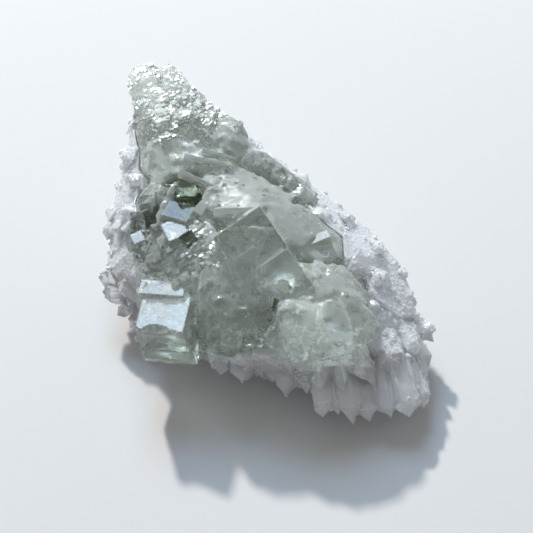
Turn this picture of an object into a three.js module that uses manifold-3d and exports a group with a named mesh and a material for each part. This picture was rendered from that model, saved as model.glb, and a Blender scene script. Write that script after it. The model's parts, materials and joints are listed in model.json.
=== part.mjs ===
// Green fluorite on quartz: a loose hand specimen, about 67 mm wide, that lies on its broken underside.
// Two minerals make it up. The matrix is a slab of colourless quartz, covered with six-sided points.
// A mass of intergrown pale green fluorite cubes sits in it, from the raised tip at the back left
// to the front.
// Millimetres, +Z up, +X to the right and -Y to the front. The origin is the middle of the box's base.

import * as THREE from "three";
import { ConvexGeometry } from "three/addons/geometries/ConvexGeometry.js";
import { MeshSurfaceSampler } from "three/addons/math/MeshSurfaceSampler.js";
import { mergeVertices } from "three/addons/utils/BufferGeometryUtils.js";
import Module from "manifold-3d";

const wasm = await Module();
wasm.setup();

// Driving dimensions
const SEAM = 0.3; // open gap between the fluorite and the quartz that it grew on
const SMALL_CUBE_GAP = 2; // least distance between the middles of two small cubes
const POINT_RADIUS = [2.8, 4.4]; // radius of the points of the druse, least and most
const POINT_GAP = 6.3; // least distance between the roots of two of them
const POINT_COUNT = 400; // more than there is room for
const QUARTZ_SIDES = 6;
const BREAK_DEPTH = 40; // thickness of the block that takes away everything below the flat break

// One seeded generator for everything that nature scattered, so that each build is the same.
function seeded(seed) {
  let state = seed;
  return () => {
    state = (state + 0x6d2b79f5) | 0;
    let t = Math.imul(state ^ (state >>> 15), 1 | state);
    t = (t + Math.imul(t ^ (t >>> 7), 61 | t)) ^ t;
    return ((t ^ (t >>> 14)) >>> 0) / 4294967296;
  };
}
const between = (random, low, high) => low + (high - low) * random();
const radians = THREE.MathUtils.degToRad;
const vector = (place) => new THREE.Vector3(...place);

// A closed three.js geometry as a solid that can be joined and cut.
function solid(geometry) {
  const bare = geometry.index ? geometry.toNonIndexed() : geometry.clone();
  bare.deleteAttribute("normal");
  bare.deleteAttribute("uv");
  const merged = mergeVertices(bare, 1e-4);
  return new wasm.Manifold(
    new wasm.Mesh({
      numProp: 3,
      vertProperties: new Float32Array(merged.attributes.position.array),
      triVerts: new Uint32Array(merged.index.array),
    }),
  );
}

// A solid as a three.js geometry again.
function geometryOf(body) {
  const mesh = body.getMesh();
  const corners = new Float32Array(mesh.numVert * 3);
  for (let i = 0; i < mesh.numVert; i++) {
    corners.set(mesh.vertProperties.subarray(i * mesh.numProp, i * mesh.numProp + 3), i * 3);
  }
  const geometry = new THREE.BufferGeometry();
  geometry.setAttribute("position", new THREE.BufferAttribute(corners, 3));
  geometry.setIndex(new THREE.BufferAttribute(new Uint32Array(mesh.triVerts), 1));
  geometry.computeVertexNormals();
  return geometry;
}

const joined = (bodies) => bodies.reduce((whole, body) => whole.add(body));

// The way that a crystal is turned: its lean to the front, its sway to the right and its spin about its own
// upright axis, in degrees. The spin comes first.
const turning = ([lean, sway, spin]) => new THREE.Euler(radians(lean), radians(sway), radians(spin), "XYZ");

// A lump: the convex body round a few corners, each moved outwards from its middle by `grow`.
function lump(corners, grow = 0) {
  const places = corners.map(vector);
  const middle = new THREE.Box3().setFromPoints(places).getCenter(new THREE.Vector3());
  for (const place of places) place.addScaledVector(place.clone().sub(middle).normalize(), grow);
  return solid(new ConvexGeometry(places));
}

// A knob with many small faces.
function knob({ at, size, turn }, grow = 0) {
  const geometry = new THREE.IcosahedronGeometry(1, 1);
  geometry.scale(...size.map((side) => side / 2 + grow));
  geometry.applyMatrix4(new THREE.Matrix4().makeRotationFromEuler(turning(turn)));
  geometry.translate(...at);
  return solid(geometry);
}

// A fluorite cube or slab. `wear` is the share of its shortest side that is gone from each corner.
function cube({ at, size, turn, wear = 0 }, grow = 0) {
  const sides = size.map((side) => side + 2 * grow);
  const cut = wear * Math.min(...size);
  let geometry = new THREE.BoxGeometry(...sides);
  if (cut > 0) {
    const corners = [];
    for (const sx of [-1, 1]) {
      for (const sy of [-1, 1]) {
        for (const sz of [-1, 1]) {
          const corner = vector([sx * sides[0], sy * sides[1], sz * sides[2]]).multiplyScalar(0.5);
          for (const inwards of [[-sx, 0, 0], [0, -sy, 0], [0, 0, -sz]]) {
            corners.push(corner.clone().addScaledVector(vector(inwards), cut));
          }
        }
      }
    }
    geometry = new ConvexGeometry(corners);
  }
  geometry.applyMatrix4(new THREE.Matrix4().makeRotationFromEuler(turning(turn)));
  geometry.translate(...at);
  return solid(geometry);
}

// A quartz crystal: a six-sided prism with a six-sided point, rooted at `at` and growing along `way`.
// Without a prism it is only the point.
function quartzPoint({ at, way, radius, prism = 0, tip, spin = 0, flat = 1 }) {
  const shoulder = prism > 0 ? [[radius, prism]] : [];
  const profile = [[0, 0], [radius, 0], ...shoulder, [0, prism + tip]].map(
    ([across, along]) => new THREE.Vector2(across, along),
  );
  const geometry = new THREE.LatheGeometry(profile, QUARTZ_SIDES);
  geometry.rotateY(spin);
  geometry.scale(1, 1, flat);
  const upright = new THREE.Vector3(0, 1, 0);
  geometry.applyQuaternion(new THREE.Quaternion().setFromUnitVectors(upright, way.clone().normalize()));
  geometry.translate(at.x, at.y, at.z);
  return solid(geometry);
}

// Seats for small crystals: places on a body's skin that stand apart, each with the way that the skin
// faces there. `wanted` tells whether a place may be used.
function seatsOn(body, { seed, tries, count, gap, wanted }) {
  const sampler = new MeshSurfaceSampler(new THREE.Mesh(geometryOf(body).toNonIndexed()));
  sampler.setRandomGenerator(seeded(seed)).build();
  const seats = [];
  const at = new THREE.Vector3();
  const out = new THREE.Vector3();
  for (let i = 0; i < tries && seats.length < count; i++) {
    sampler.sample(at, out);
    const crowded = seats.some((seat) => seat.at.distanceTo(at) < gap);
    if (!crowded && wanted(at, out)) seats.push({ at: at.clone(), out: out.clone() });
  }
  return seats;
}

// Fluorite: the lumps of its mass, from the tip to the front. Each lists the corners of one swell.
const FLUORITE_LUMPS = [
  // the shoulder under the tip, with an upright wall on its left
  [
    [-27.4, 32, 31], [-27.2, 27, 28], [-26, 22.5, 25.5], [-22, 31.4, 33.6], [-21.4, 23, 33],
    [-14.6, 33.4, 31.8],
    [-15.5, 26, 33], [-10.6, 29.2, 31], [-10.4, 18.6, 31], [-20.3, 18, 30.4], [-25.6, 22, 24.5],
    [-26.4, 31, 23],
    [-25.6, 24, 18], [-14, 31, 22], [-9, 25, 18], [-22, 14, 16], [-9, 14, 16],
  ],
  // the whitish crown behind the tip
  [
    [-21.5, 39, 33], [-18, 38, 32.6], [-15.4, 35.6, 31.6], [-13.8, 33, 31.4], [-20, 35, 34.2],
    [-15.5, 31, 33],
    [-22, 31, 33], [-20.5, 36, 25], [-14, 32, 24],
  ],
  // the smooth knoll on the right of the shoulder
  [
    [-9.8, 27.8, 30.6], [-6.6, 27.8, 30], [-4.3, 23.5, 29.8], [-3, 20.4, 29.4], [-3.3, 18.6, 28.6],
    [-6.3, 17.1, 28.4],
    [-10, 18.3, 29.5], [-9.4, 24.6, 31.6], [-6.6, 22, 31.4], [-9, 25, 22], [-3.4, 20, 20], [-10, 17, 22],
  ],
  // the pale lobe that hangs below the shoulder on the left
  [
    [-25.9, 22.5, 25.6], [-21.5, 21.5, 30.6], [-19.8, 17, 29.6], [-20.2, 13.2, 27.2], [-22.2, 13.4, 26.4],
    [-24.2, 15.4, 25.4], [-25.8, 18, 24.2], [-23.2, 17.8, 28.8], [-24, 20, 18], [-19, 14, 20],
  ],
  // the smooth green slope between the shoulder and the broad face
  [
    [-20.3, 17.8, 30], [-14.5, 18.5, 31.6], [-9, 17.5, 30.2], [-8.6, 14.5, 30], [-14.7, 13.2, 30.6],
    [-18.2, 12.2, 28.8],
    [-20.4, 13, 27.2], [-19, 13, 18], [-8, 13, 18],
  ],
  // the broad pale face below the knoll, up to the crest
  [
    [-12.4, 11.8, 29.8], [-6.9, 15.4, 28.6], [-0.9, 12.2, 28.2], [6.2, 8, 26.8], [4, 4.2, 29],
    [-0.9, 1, 31.8],
    [-9.9, 0.8, 30.8], [-13, 5.4, 29.6], [-7, 8, 30.8], [-1, 7, 30.4], [-13, 6, 16], [5, 6, 14],
    [-6, 14, 16],
  ],
  // the ridge along its right, on the far side of a groove
  [
    [-2.6, 19.6, 29.2], [0.4, 19.2, 27.8], [4.7, 15.4, 26.4], [8.4, 11.6, 25], [9, 6.4, 26.4],
    [6.8, 8.6, 26.8],
    [0.2, 14.8, 27.8], [-5, 17.8, 27.6], [-4, 17, 16], [8, 8, 14], [1, 16, 16],
  ],
  // the left flank, down from the smooth slope to the left wing
  [
    [-23.4, 14.4, 25], [-18.6, 10, 27.6], [-17.6, 0, 26.8], [-20, -4, 23.6], [-25.3, 0.2, 21.4],
    [-27, 5, 19.4],
    [-26.4, 12, 22], [-26, 0, 12], [-16, -4, 12], [-22, 14, 12], [-14, 8, 14],
  ],
  // the saddle between the flank, the block and the corner cube
  [
    [-18.4, 2, 26.6], [-11.6, 2, 28.4], [-9.4, -5.6, 29.2], [-10.6, -12, 25], [-14.6, -13.4, 20.4],
    [-22, -9.6, 19.4],
    [-24, -5, 19.6], [-19.6, -3, 24.6], [-13.4, -5, 27.2], [-22, -8, 10], [-12, -13, 10], [-8, 2, 12],
  ],
  // the steep dull front below the block
  [
    [-9.4, -6.4, 29.2], [-1.4, -13.2, 25.4], [0.6, -13.6, 24.6], [-12.8, -11, 25], [-13, -15, 21.6],
    [-9.6, -18, 22.6],
    [-3, -17.9, 23.2], [1, -15.6, 22.4], [-6.5, -20.3, 19.2], [-12, -18.4, 14.6], [0.4, -18.2, 18],
    [-7, -19.8, 11],
    [-13, -16, 8], [1, -16, 8], [-10, -4, 10], [2, -6, 10],
  ],
  // the smooth faces right of the crest
  [
    [-0.1, 1.8, 31.2], [6.6, 5.6, 27.8], [10.1, 4, 26], [10.8, -0.8, 25.4], [6.4, -5.9, 26.8],
    [3.1, -5.4, 29.2],
    [4, -6, 14], [10, 0, 14], [4, 6, 14], [-2, -4, 14],
  ],
  [
    [9.6, 4.2, 25.8], [14.8, 0.9, 23.4], [15.1, -3.8, 22.8], [10, -6.4, 24.6], [6.4, -6, 25.8],
    [14, 0, 13], [8, -6, 13],
    [8, 4, 14],
  ],
  // the shelf on the right, whose front edge ends in lobes
  [
    [5.4, -8.3, 26.2], [15, -6, 23.2], [20.4, -11.6, 19.8], [18.6, -16.4, 18.6], [12, -14.4, 24.4],
    [7, -15, 24],
    [2.2, -13.8, 22.6], [1.2, -16.8, 20.4], [4, -19.6, 19.6], [12, -21.8, 18.6], [16.4, -19.4, 18],
    [3, -17, 12],
    [15, -17, 11], [16, -7, 12], [4, -6, 12],
  ],
];

// The rounded tip.
const FLUORITE_KNOBS = [
  { at: [-24.7, 35.4, 30.8], size: [8.2, 9.4, 9], turn: [20, 10, 30] },
];

// The large crystals that stand out of the mass.
const FLUORITE_CUBES = [
  // the square block below the crest, and the step below it
  { at: [-2.2, -4.9, 25.3], size: [13.5, 10.7, 10.8], turn: [40, 3, -56] },
  { at: [2.8, -9.4, 22.4], size: [9, 8.4, 10], turn: [41, 3, -56] },
  // the bright facets on the flank
  { at: [-17.2, 2.2, 25.6], size: [5.4, 3.6, 6], turn: [6, 2, -10], wear: 0.14 },
  { at: [-17.4, -1, 24.6], size: [4, 4.6, 6], turn: [20, -2, -16], wear: 0.2 },
  { at: [-25.2, 0.6, 20.4], size: [2.4, 2.6, 3.6], turn: [16, -12, 24] },
  // the bars round the hollow and the dark patch
  { at: [-19.8, 5.6, 26.2], size: [1.3, 10.4, 3.4], turn: [22, -8, -24] },
  { at: [-12, 4.4, 28.4], size: [2.2, 6.6, 4], turn: [22, 8, -30] },
  { at: [-12.6, 9.4, 29.2], size: [8.8, 1.2, 3], turn: [30, 6, -22] },
  // the white blades above the broad face
  { at: [-11.6, 13.7, 30.5], size: [9.6, 1, 2.6], turn: [34, 4, -10] },
  { at: [-9.4, 15.6, 30.2], size: [7, 1, 2.4], turn: [34, 4, -14] },
  // the ledge along the crest
  { at: [-5.4, 0.4, 30.6], size: [9.6, 1.6, 1.8], turn: [24, 2, 6] },
  // the lobes of the shelf's front edge, from the left
  { at: [5.6, -18.6, 18.6], size: [9, 10, 7.4], turn: [38, -8, -24], wear: 0.34 },
  { at: [10.8, -19, 18.2], size: [9.4, 10.4, 7.4], turn: [34, 4, 12], wear: 0.36 },
  { at: [15.6, -16.6, 18], size: [8.4, 10.4, 7], turn: [30, 14, 34], wear: 0.34 },
];

// The well-formed cube at the front left: a body, a step behind its top face and a ledge under its front.
const CORNER_CUBE = [
  { at: [-18.9, -15.2, 15.4], size: [9.4, 9.6, 10.6], turn: [3, -7, -10] },
  { at: [-19.3, -10.6, 15.8], size: [9, 3.4, 11.6], turn: [3, -7, -10] },
  { at: [-18, -14.9, 12], size: [10.6, 10.4, 4.4], turn: [3, -7, -10] },
];

// Where the mass is etched into small cubes. All cubes of a patch are turned nearly the same way.
// `long` stretches them along their own first axis.
const CUBE_PATCHES = [
  { middle: [-24.6, 36, 34], reach: 4.2, turn: [34, -6, 34], side: [1.2, 1.9], long: 2, count: 7 },
  { middle: [-17, 36, 33.5], reach: 4.5, turn: [30, 20, 10], side: [1.6, 2.6], long: 1, count: 6 },
  { middle: [-21, 26, 32.5], reach: 7, turn: [46, 8, 18], side: [1.8, 3.4], long: 1, count: 12 },
  { middle: [-13, 24, 32], reach: 6.5, turn: [38, -14, 52], side: [1.8, 3.4], long: 1.2, count: 10 },
  { middle: [-6, 22, 31], reach: 5, turn: [30, 24, 12], side: [1.8, 2.8], long: 1, count: 4 },
  { middle: [-24, 8, 22], reach: 6.5, turn: [44, -20, 10], side: [1.8, 3.2], long: 1, count: 8 },
  { middle: [-20, -4, 23], reach: 6, turn: [58, -8, 28], side: [1.8, 3.4], long: 1, count: 11 },
  { middle: [-12, -2, 28], reach: 5.5, turn: [42, 12, 40], side: [1.6, 3], long: 1.2, count: 9 },
  { middle: [-12, -16, 20], reach: 6, turn: [62, -4, 16], side: [1.8, 3.2], long: 1, count: 7 },
  { middle: [-4, -19, 13], reach: 7, turn: [70, 6, -24], side: [2, 3.6], long: 1, count: 6 },
  { middle: [4, 12, 28], reach: 6, turn: [26, 22, -38], side: [2, 3.4], long: 1.4, count: 4 },
  { middle: [16, -14, 20], reach: 6.5, turn: [32, 18, 30], side: [1.8, 3], long: 1, count: 5 },
];

// The open pits: the hollow under the broad face, the dark patch left of it, and the crevice by the shelf.
const PITS = [
  { at: [-15.4, 6.4, 29.6], size: [4.4, 4.6, 6], turn: [36, 6, 32] },
  { at: [-23.2, 4.6, 25.4], size: [3.8, 5, 5], turn: [40, -16, 20] },
  { at: [1.4, -17.4, 22.4], size: [1.6, 5.4, 6], turn: [52, 8, -10] },
];

function smallCubes(mass) {
  const random = seeded(7);
  const made = [];
  CUBE_PATCHES.forEach(({ middle, reach, turn, side: sides, long, count }, patch) => {
    const wanted = (at) => at.distanceTo(vector(middle)) < reach;
    const seats = seatsOn(mass, { seed: 40 + patch, tries: 9000, count, gap: SMALL_CUBE_GAP, wanted });
    for (const { at, out } of seats) {
      const side = between(random, ...sides);
      const depth = side * between(random, 0.26, 0.46);
      made.push({
        at: at.clone().addScaledVector(out, -depth).toArray(),
        size: [side * long, side * between(random, 0.8, 1.2), side],
        turn: turn.map((angle) => angle + between(random, -3, 3)),
      });
    }
  });
  return made;
}

function fluorite(grow = 0) {
  const lumps = FLUORITE_LUMPS.map((corners) => lump(corners, grow));
  const knobs = FLUORITE_KNOBS.map((one) => knob(one, grow));
  const pits = joined(PITS.map((pit) => cube(pit, -grow)));
  const mass = joined([...lumps, ...knobs]).subtract(pits);
  const crystals = [...FLUORITE_CUBES, ...CORNER_CUBE].map((one) => cube(one, grow));
  return { mass, body: joined([mass, ...crystals]) };
}

// Quartz. The slab under everything, the rim on the right, the front below the fluorite, and the left side.
const QUARTZ_LUMPS = [
  // slab
  [
    [-22, -10, 0], [0, -15, 0], [20, -21, 0], [26, -12, 0], [20, 2, 0], [4, 13, 0], [-8, 22, 0],
    [-19, 27, 0], [-25, 18, 0], [-26, 2, 0],
    [-26, -8, 8], [-4, -17.4, 8], [14, -23, 8], [26, -22, 9], [30, -12, 9], [26, 0, 12], [10, 14, 14],
    [-4, 25, 18], [-18, 33, 20], [-26, 26, 17], [-30, 8, 11], [-29, -2, 9],
    [22, -16, 13], [18, 2, 18], [2, 14, 20], [-24, 24, 20],
  ],
  // rim along the right, a little lower than the fluorite beside it
  [
    [-3.4, 20, 28.6], [0.6, 20, 27.2], [4.9, 16, 26], [8.9, 12.3, 24.6], [14.8, 10, 22], [21, 5.6, 19],
    [26.2, 0.8, 15.8], [28.6, -4.2, 13.4], [9.6, 4.6, 25.6], [14.6, 1.2, 23.4], [15.6, -4, 22.2],
    [21.4, -1.6, 19.8],
    [10, 13, 14], [-2, 22, 18], [20, -6, 10], [27, -4, 8], [4, 8, 14],
  ],
  // smooth white shoulder on the right
  [
    [19, -4, 20], [24.6, -2.6, 17.2], [28.2, -5, 14.2], [29.8, -9.6, 11.6], [26, -12.4, 14.6],
    [20.6, -10.6, 19.2],
    [22, -14, 8], [28, -8, 6], [18, -4, 10],
  ],
  // lower right, under the shelf
  [
    [20.4, -11.6, 18.4], [25, -13.4, 14.8], [30.2, -12, 10.4], [31, -17, 7.6], [28.6, -22, 7.4],
    [21.6, -20.6, 12.2],
    [18.2, -18.2, 16.6], [24, -16, 2], [16, -14, 6], [28, -20, 4],
  ],
  // front, between the shelf and the fringe
  [
    [-12, -17.6, 12.6], [-3, -19, 12.6], [5, -21, 12.4], [11, -22.8, 12.2], [17, -22.4, 12.4],
    [22, -20.4, 11.6],
    [20, -23.4, 6], [10, -23.6, 6], [0, -18.6, 5.4], [-10, -17, 6], [-10, -10, 4], [18, -12, 3],
  ],
  // left slope, from under the tip to the left wing
  [
    [-27, 32.6, 26.6], [-27.4, 27, 26.4], [-28.4, 20, 22.4], [-30.6, 14.4, 18.4], [-32.2, 11, 15],
    [-31.6, 5, 13.4], [-26.6, 3, 19.4],
    [-26.4, 12, 22.4], [-25.6, 19, 24.8], [-26, 24, 8], [-22, 4, 8], [-20, 20, 12],
  ],
  // left wing
  [
    [-31.4, 9, 14.4], [-31.4, 4, 13.4], [-32.6, 0.6, 12], [-29.6, -3.2, 9.4], [-25, -6.4, 9.4],
    [-23.4, -5, 17.6],
    [-26.6, 1.4, 19], [-26, 4, 8], [-24, -6, 5], [-28, 0, 5],
  ],
  // back, under the crown and the knoll
  [
    [-25.6, 35.6, 26.4], [-20, 37, 27], [-14, 34, 26.6], [-8, 28.6, 26.6], [-2.4, 22, 26.4], [-24, 34, 18],
    [-14, 32, 12], [-4, 24, 14], [-20, 24, 12], [-8, 20, 12],
  ],
];

// The big points that fringe the front and the right edge, from their root to their apex.
const FRINGE = [
  { root: [2.4, -16, 7.6], apex: [4.4, -24, 6], radius: 2.5, tip: 2 },
  { root: [6.6, -17, 8], apex: [8, -24.2, 6.8], radius: 2.1, tip: 1.4 },
  { root: [10.2, -19, 8], apex: [11.5, -29.2, 6], radius: 2.5, tip: 1.6 },
  { root: [13, -20, 8.4], apex: [13.9, -29.2, 6.2], radius: 1.7, tip: 1.4 },
  { root: [15.4, -20, 8.6], apex: [16.5, -30.6, 5.2], radius: 2.8, tip: 3.4 },
  { root: [18.8, -20, 8], apex: [19.5, -29.8, 5], radius: 2.2, tip: 1.6 },
  { root: [22, -19, 9.4], apex: [23.8, -29.2, 5.2], radius: 2.9, tip: 1.8 },
  { root: [25.8, -19, 9.4], apex: [27.7, -28.8, 5.2], radius: 3, tip: 2 },
  { root: [27.6, -17, 8.4], apex: [30.6, -26.4, 5], radius: 2.1, tip: 1.8 },
  { root: [27.4, -13, 8.6], apex: [31.8, -17.6, 6.8], radius: 2, tip: 1.8 },
  { root: [27.6, -9.6, 8.8], apex: [32.8, -12.8, 8], radius: 2.1, tip: 1.8 },
  { root: [-2.2, -14, 7.6], apex: [-0.8, -20.6, 6], radius: 2.6, tip: 1.6 },
  { root: [-6, -14.4, 7.6], apex: [-4.7, -21.6, 6], radius: 2.5, tip: 2 },
  { root: [-10, -13.4, 7.6], apex: [-9, -19.6, 6.6], radius: 2.4, tip: 1.6 },
  { root: [18, -18.6, 12], apex: [19.6, -25.2, 11], radius: 2.4, tip: 1.8 },
  { root: [23, -16.4, 12.4], apex: [25.6, -22.4, 11.4], radius: 2.6, tip: 2.2 },
  { root: [10, -18.4, 10.8], apex: [11, -25.4, 10], radius: 2.2, tip: 1.8 },
  { root: [3.6, -17, 11.6], apex: [4.6, -22.6, 10.6], radius: 2, tip: 1.8 },
  // the clear points on the far left
  { root: [-27.4, 0.6, 9.8], apex: [-34, 0.4, 11.2], radius: 2.8, tip: 2 },
  { root: [-27, -1.6, 8.8], apex: [-33.2, -2, 9.4], radius: 2.3, tip: 1.6 },
  { root: [-26, -4, 9], apex: [-29.4, -5.6, 9], radius: 1.9, tip: 1.4 },
];

// The druse: short points that stand on every open side of the quartz.
function druse(core, covered) {
  const random = seeded(21);
  const middle = new THREE.Vector3(-4, 0, 8);
  const open = (at, out) => at.z > 2.6 && out.z > -0.72 && !covered(at);
  const seats = seatsOn(core, { seed: 90, tries: 9000, count: POINT_COUNT, gap: POINT_GAP, wanted: open });
  return seats.map(({ at, out }) => {
    const radius = between(random, ...POINT_RADIUS);
    const way = out.clone().addScaledVector(at.clone().sub(middle).normalize(), 0.5);
    way.add(vector([0, 0, 0].map(() => between(random, -0.35, 0.35)))).normalize();
    return quartzPoint({
      at: at.clone().addScaledVector(way, -radius * between(random, 0.1, 0.25)),
      way,
      radius,
      tip: radius * between(random, 0.5, 0.75),
      spin: between(random, 0, Math.PI),
      flat: between(random, 0.75, 1),
    });
  });
}

function quartz(socket) {
  const core = joined(QUARTZ_LUMPS.map((corners) => lump(corners)));
  const bothSides = new THREE.MeshBasicMaterial({ side: THREE.DoubleSide });
  const tester = new THREE.Mesh(geometryOf(socket), bothSides);
  const ray = new THREE.Raycaster();
  const up = new THREE.Vector3(0, 0.01, 1).normalize();
  const covered = (at) => {
    ray.set(at, up);
    return ray.intersectObject(tester).length % 2 === 1;
  };
  const fringe = FRINGE.map(({ root, apex, radius, tip }, i) => {
    const at = vector(root);
    const way = vector(apex).sub(at);
    return quartzPoint({ at, way, radius, prism: way.length() - tip, tip, spin: i * 0.7, flat: 0.85 });
  });
  return joined([core, ...fringe, ...druse(core, covered)]).subtract(socket);
}

// Everything below the break is gone: a wide flat block under the base takes it away.
function brokenOff(body) {
  const block = new THREE.BoxGeometry(200, 200, BREAK_DEPTH);
  block.translate(0, 0, -BREAK_DEPTH / 2);
  return body.subtract(solid(block));
}

// The largest body alone, because a cut can leave crumbs behind.
function largest(body) {
  return body.decompose().reduce((best, one) => (one.volume() > best.volume() ? one : best));
}

const bare = fluorite();
const etched = smallCubes(bare.mass);
const fluoriteSolid = largest(joined([bare.body, ...etched.map((one) => cube(one))]));
const socket = joined([fluorite(SEAM).body, ...etched.map((one) => cube(one, SEAM))]);
const quartzSolid = largest(brokenOff(quartz(socket)));

const specimen = new THREE.Group();
const fluoriteMesh = new THREE.Mesh(
  geometryOf(fluoriteSolid),
  new THREE.MeshStandardMaterial({ color: 0xa9b8ae, roughness: 0.15, metalness: 0 }),
);
fluoriteMesh.name = "fluorite_crystals";
const quartzMesh = new THREE.Mesh(
  geometryOf(quartzSolid),
  new THREE.MeshStandardMaterial({ color: 0xc9ccd0, roughness: 0.25, metalness: 0 }),
);
quartzMesh.name = "quartz_matrix";
specimen.add(fluoriteMesh, quartzMesh);

// The origin goes to the middle of the box's base.
const box = new THREE.Box3().setFromObject(specimen);
const centre = box.getCenter(new THREE.Vector3());
specimen.position.set(-centre.x, -centre.y, -box.min.z);

export default specimen;
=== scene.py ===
"""Green fluorite on quartz: the looks of the specimen, set round its solids and in their frame, in metres."""

import json
import math

import bmesh
import bpy
import numpy as np
from mathutils import Matrix, Vector
from mathutils.bvhtree import BVHTree

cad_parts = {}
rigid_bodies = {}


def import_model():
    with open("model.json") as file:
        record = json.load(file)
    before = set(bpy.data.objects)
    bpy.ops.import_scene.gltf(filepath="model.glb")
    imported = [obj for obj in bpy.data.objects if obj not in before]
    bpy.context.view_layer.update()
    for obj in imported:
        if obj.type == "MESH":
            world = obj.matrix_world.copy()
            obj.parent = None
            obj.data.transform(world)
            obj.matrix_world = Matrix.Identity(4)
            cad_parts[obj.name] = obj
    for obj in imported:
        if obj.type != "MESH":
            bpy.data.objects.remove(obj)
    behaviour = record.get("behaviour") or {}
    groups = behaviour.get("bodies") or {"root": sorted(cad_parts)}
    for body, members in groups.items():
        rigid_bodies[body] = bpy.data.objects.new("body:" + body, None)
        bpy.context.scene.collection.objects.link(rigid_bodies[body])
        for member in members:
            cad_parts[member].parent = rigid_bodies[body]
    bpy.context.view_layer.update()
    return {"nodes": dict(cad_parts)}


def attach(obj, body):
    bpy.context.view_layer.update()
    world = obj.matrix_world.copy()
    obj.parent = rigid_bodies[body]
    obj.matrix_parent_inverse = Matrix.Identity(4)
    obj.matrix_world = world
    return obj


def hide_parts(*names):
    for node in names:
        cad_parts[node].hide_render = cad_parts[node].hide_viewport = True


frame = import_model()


# Camera
# A long lens that looks down on the front of the specimen at 50 degrees. It stands far enough away that the
# stone hardly spreads towards it, and close enough that the stone fills most of the picture.
MM = 0.001
VIEW_ELEVATION = math.radians(50)
VIEW_ANGLE = math.radians(20)
VIEW_DISTANCE = 302.3 * MM
VIEW_MIDDLE = Vector((0.6, -5.1, 15)) * MM
NEAREST_SHOWN = 10 * MM

towards_camera = Vector((0, -math.cos(VIEW_ELEVATION), math.sin(VIEW_ELEVATION)))
camera = bpy.data.objects.new("camera", bpy.data.cameras.new("camera"))
bpy.context.scene.collection.objects.link(camera)
camera.location = VIEW_MIDDLE + towards_camera * VIEW_DISTANCE
camera.rotation_euler = towards_camera.to_track_quat("Z", "Y").to_euler()
camera.data.angle = VIEW_ANGLE
camera.data.clip_start = NEAREST_SHOWN
bpy.context.scene.camera = camera


# Quartz matrix
# One mass of colourless to white quartz that holds the fluorite. It grew as a druse: every open side is a
# crust of small six-sided points, fine and sugary on the right and the left, and long enough at the front to
# show as teeth. Underneath, the stone was broken off flat.
ORIGIN = Vector((0.6, -5.076, 0))  # millimetres: the point that places on the stone are measured from
CLEARANCE = 0.9 * MM  # this near the other mineral, nothing grows
SAME_PLACE = 1e-7  # metres: corners this near each other are one corner
CROWDED = 4e6  # seats on a square metre, more than there is room for, so that the spacing decides
CRYSTAL_EDGE = math.radians(20)  # two faces that meet at more than this meet in a sharp edge


def row_place(place):
    """A place on the stone, in metres in the solids' frame."""
    return (Vector(place) + ORIGIN) * MM


def put(tree, kind, sockets=None, **settings):
    """A node in a tree. Each socket takes a value, or the output of another node."""
    node = tree.nodes.new(kind)
    for name, value in settings.items():
        setattr(node, name, value)
    for name, value in (sockets or {}).items():
        if isinstance(value, bpy.types.NodeSocket):
            tree.links.new(value, node.inputs[name])
        else:
            node.inputs[name].default_value = value
    return node


def number(tree, operation, *values, **settings):
    """A sum with numbers, each a value or the output of another node."""
    return put(tree, "ShaderNodeMath", dict(enumerate(values)), operation=operation, **settings).outputs[0]


def vector(tree, operation, *values):
    """The same with vectors."""
    return put(tree, "ShaderNodeVectorMath", dict(enumerate(values)), operation=operation).outputs[0]


def scaled(tree, value, factor):
    """A vector made longer or shorter."""
    return put(tree, "ShaderNodeVectorMath", {0: value, 3: factor}, operation="SCALE").outputs[0]


def random_number(tree, least, most, seed):
    """A number between two others, its own for each crystal."""
    sockets = {2: least, 3: most, "Seed": seed}
    return put(tree, "FunctionNodeRandomValue", sockets, data_type="FLOAT").outputs[1]


def random_vector(tree, least, most, seed):
    """Three such numbers at once."""
    sockets = {0: least, 1: most, "Seed": seed}
    return put(tree, "FunctionNodeRandomValue", sockets, data_type="FLOAT_VECTOR").outputs[0]


def shape_tree(name, inputs):
    """An empty Geometry Nodes tree with named inputs, and the sockets that give their values."""
    tree = bpy.data.node_groups.new(name, "GeometryNodeTree")
    tree.interface.new_socket("Geometry", in_out="OUTPUT", socket_type="NodeSocketGeometry")
    tree.interface.new_socket("Geometry", in_out="INPUT", socket_type="NodeSocketGeometry")
    for label, (kind, value) in inputs.items():
        socket = tree.interface.new_socket(label, in_out="INPUT", socket_type=kind)
        if value is not None:
            socket.default_value = value
    return tree, tree.nodes.new("NodeGroupInput").outputs


def run_tree(piece, tree, **values):
    """Runs a tree on a piece with these values in its named inputs, and keeps the mesh that comes out."""
    modifier = piece.modifiers.new(tree.name, "NODES")
    modifier.node_group = tree
    for item in tree.interface.items_tree:
        label = item.name.replace(" ", "_").lower()
        if item.in_out == "INPUT" and label in values:
            modifier[item.identifier] = values[label]
    settle(piece)


def settle(piece):
    """Turns what the modifiers make of a piece into its plain mesh."""
    shape = bpy.data.meshes.new_from_object(piece.evaluated_get(bpy.context.evaluated_depsgraph_get()))
    piece.modifiers.clear()
    piece.data = shape


def copy_of(node, name):
    """A new piece with the shape of a solid, its loose triangles joined."""
    piece = bpy.data.objects.new(name, frame["nodes"][node].data.copy())
    bpy.context.scene.collection.objects.link(piece)
    shape = bmesh.new()
    shape.from_mesh(piece.data)
    bmesh.ops.remove_doubles(shape, verts=shape.verts, dist=SAME_PLACE)
    shape.to_mesh(piece.data)
    shape.free()
    piece.data.materials.clear()
    return piece


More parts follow.
